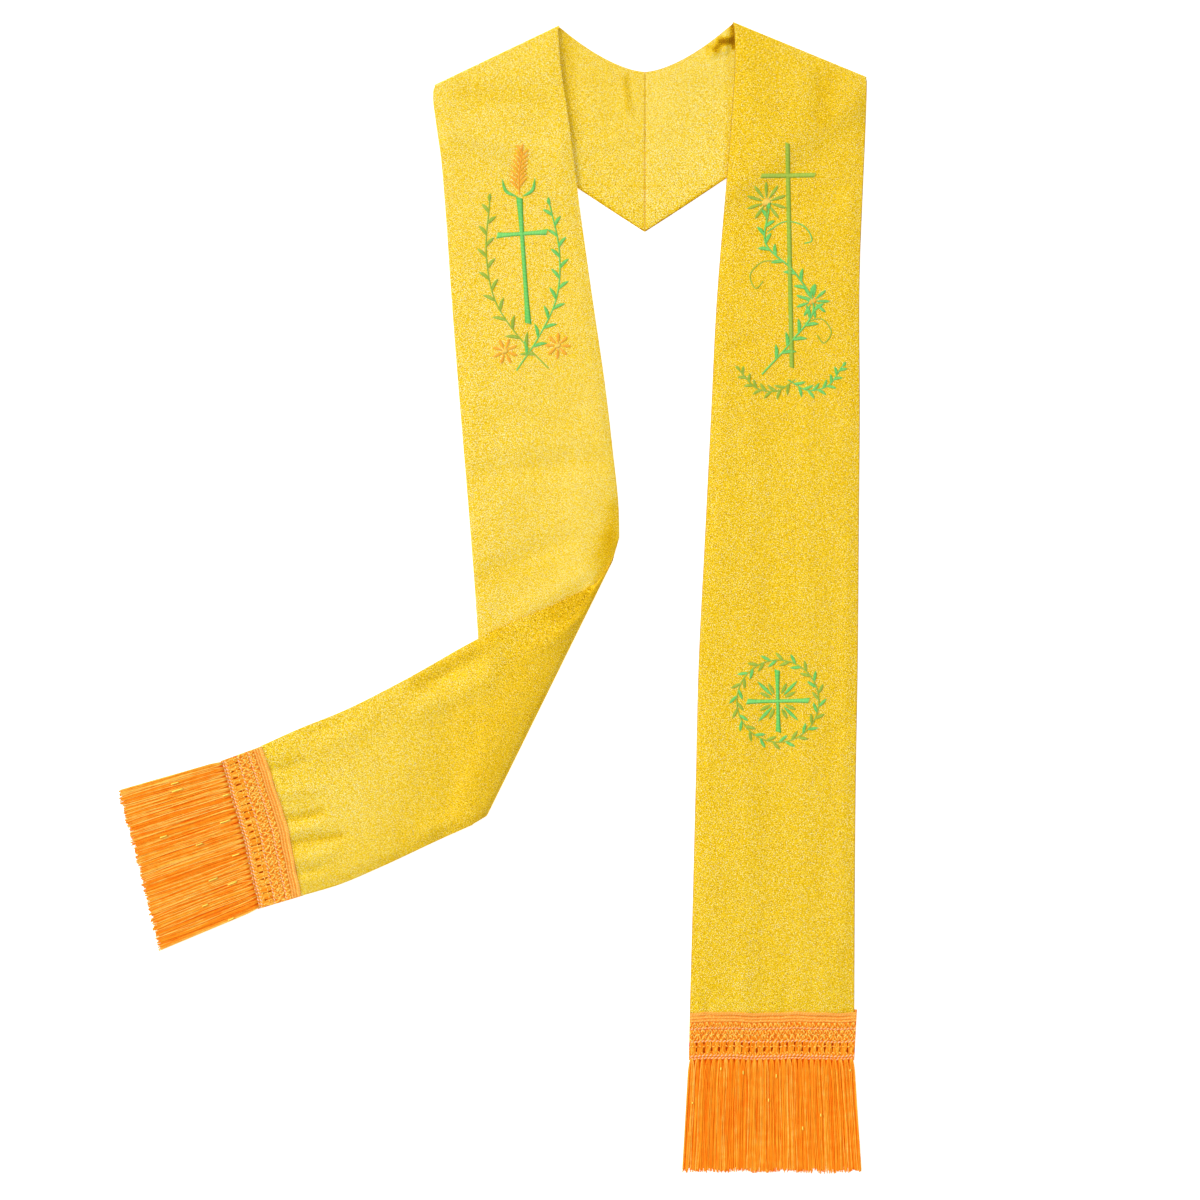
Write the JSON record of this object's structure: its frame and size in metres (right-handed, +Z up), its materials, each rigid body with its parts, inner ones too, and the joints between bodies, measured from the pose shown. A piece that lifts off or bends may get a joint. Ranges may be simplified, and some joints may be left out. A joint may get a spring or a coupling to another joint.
{
  "type": "clerical stole",
  "caption": "Fringed V-back clergy stole in gold lame, laid flat with one end turned over on itself.",
  "frame": {"origin": "the middle of the footprint, on the surface that the stole lies on", "axes": "+Z up from the surface, +Y from the hem towards the neck along the right leg, +X to the right of the neck seen from above"},
  "size_m": [0.7488, 1.152, 0.008],
  "materials": {
    "gold_lame": "satin",
    "orange_braid": "woven",
    "orange_thread": "satin"
  },
  "bodies": {
    "root": {"left_half": "gold_lame", "right_half": "gold_lame", "left_header": "orange_braid", "right_header": "orange_braid", "left_fringe": "orange_thread", "right_fringe": "orange_thread"}
  },
  "joints": []
}
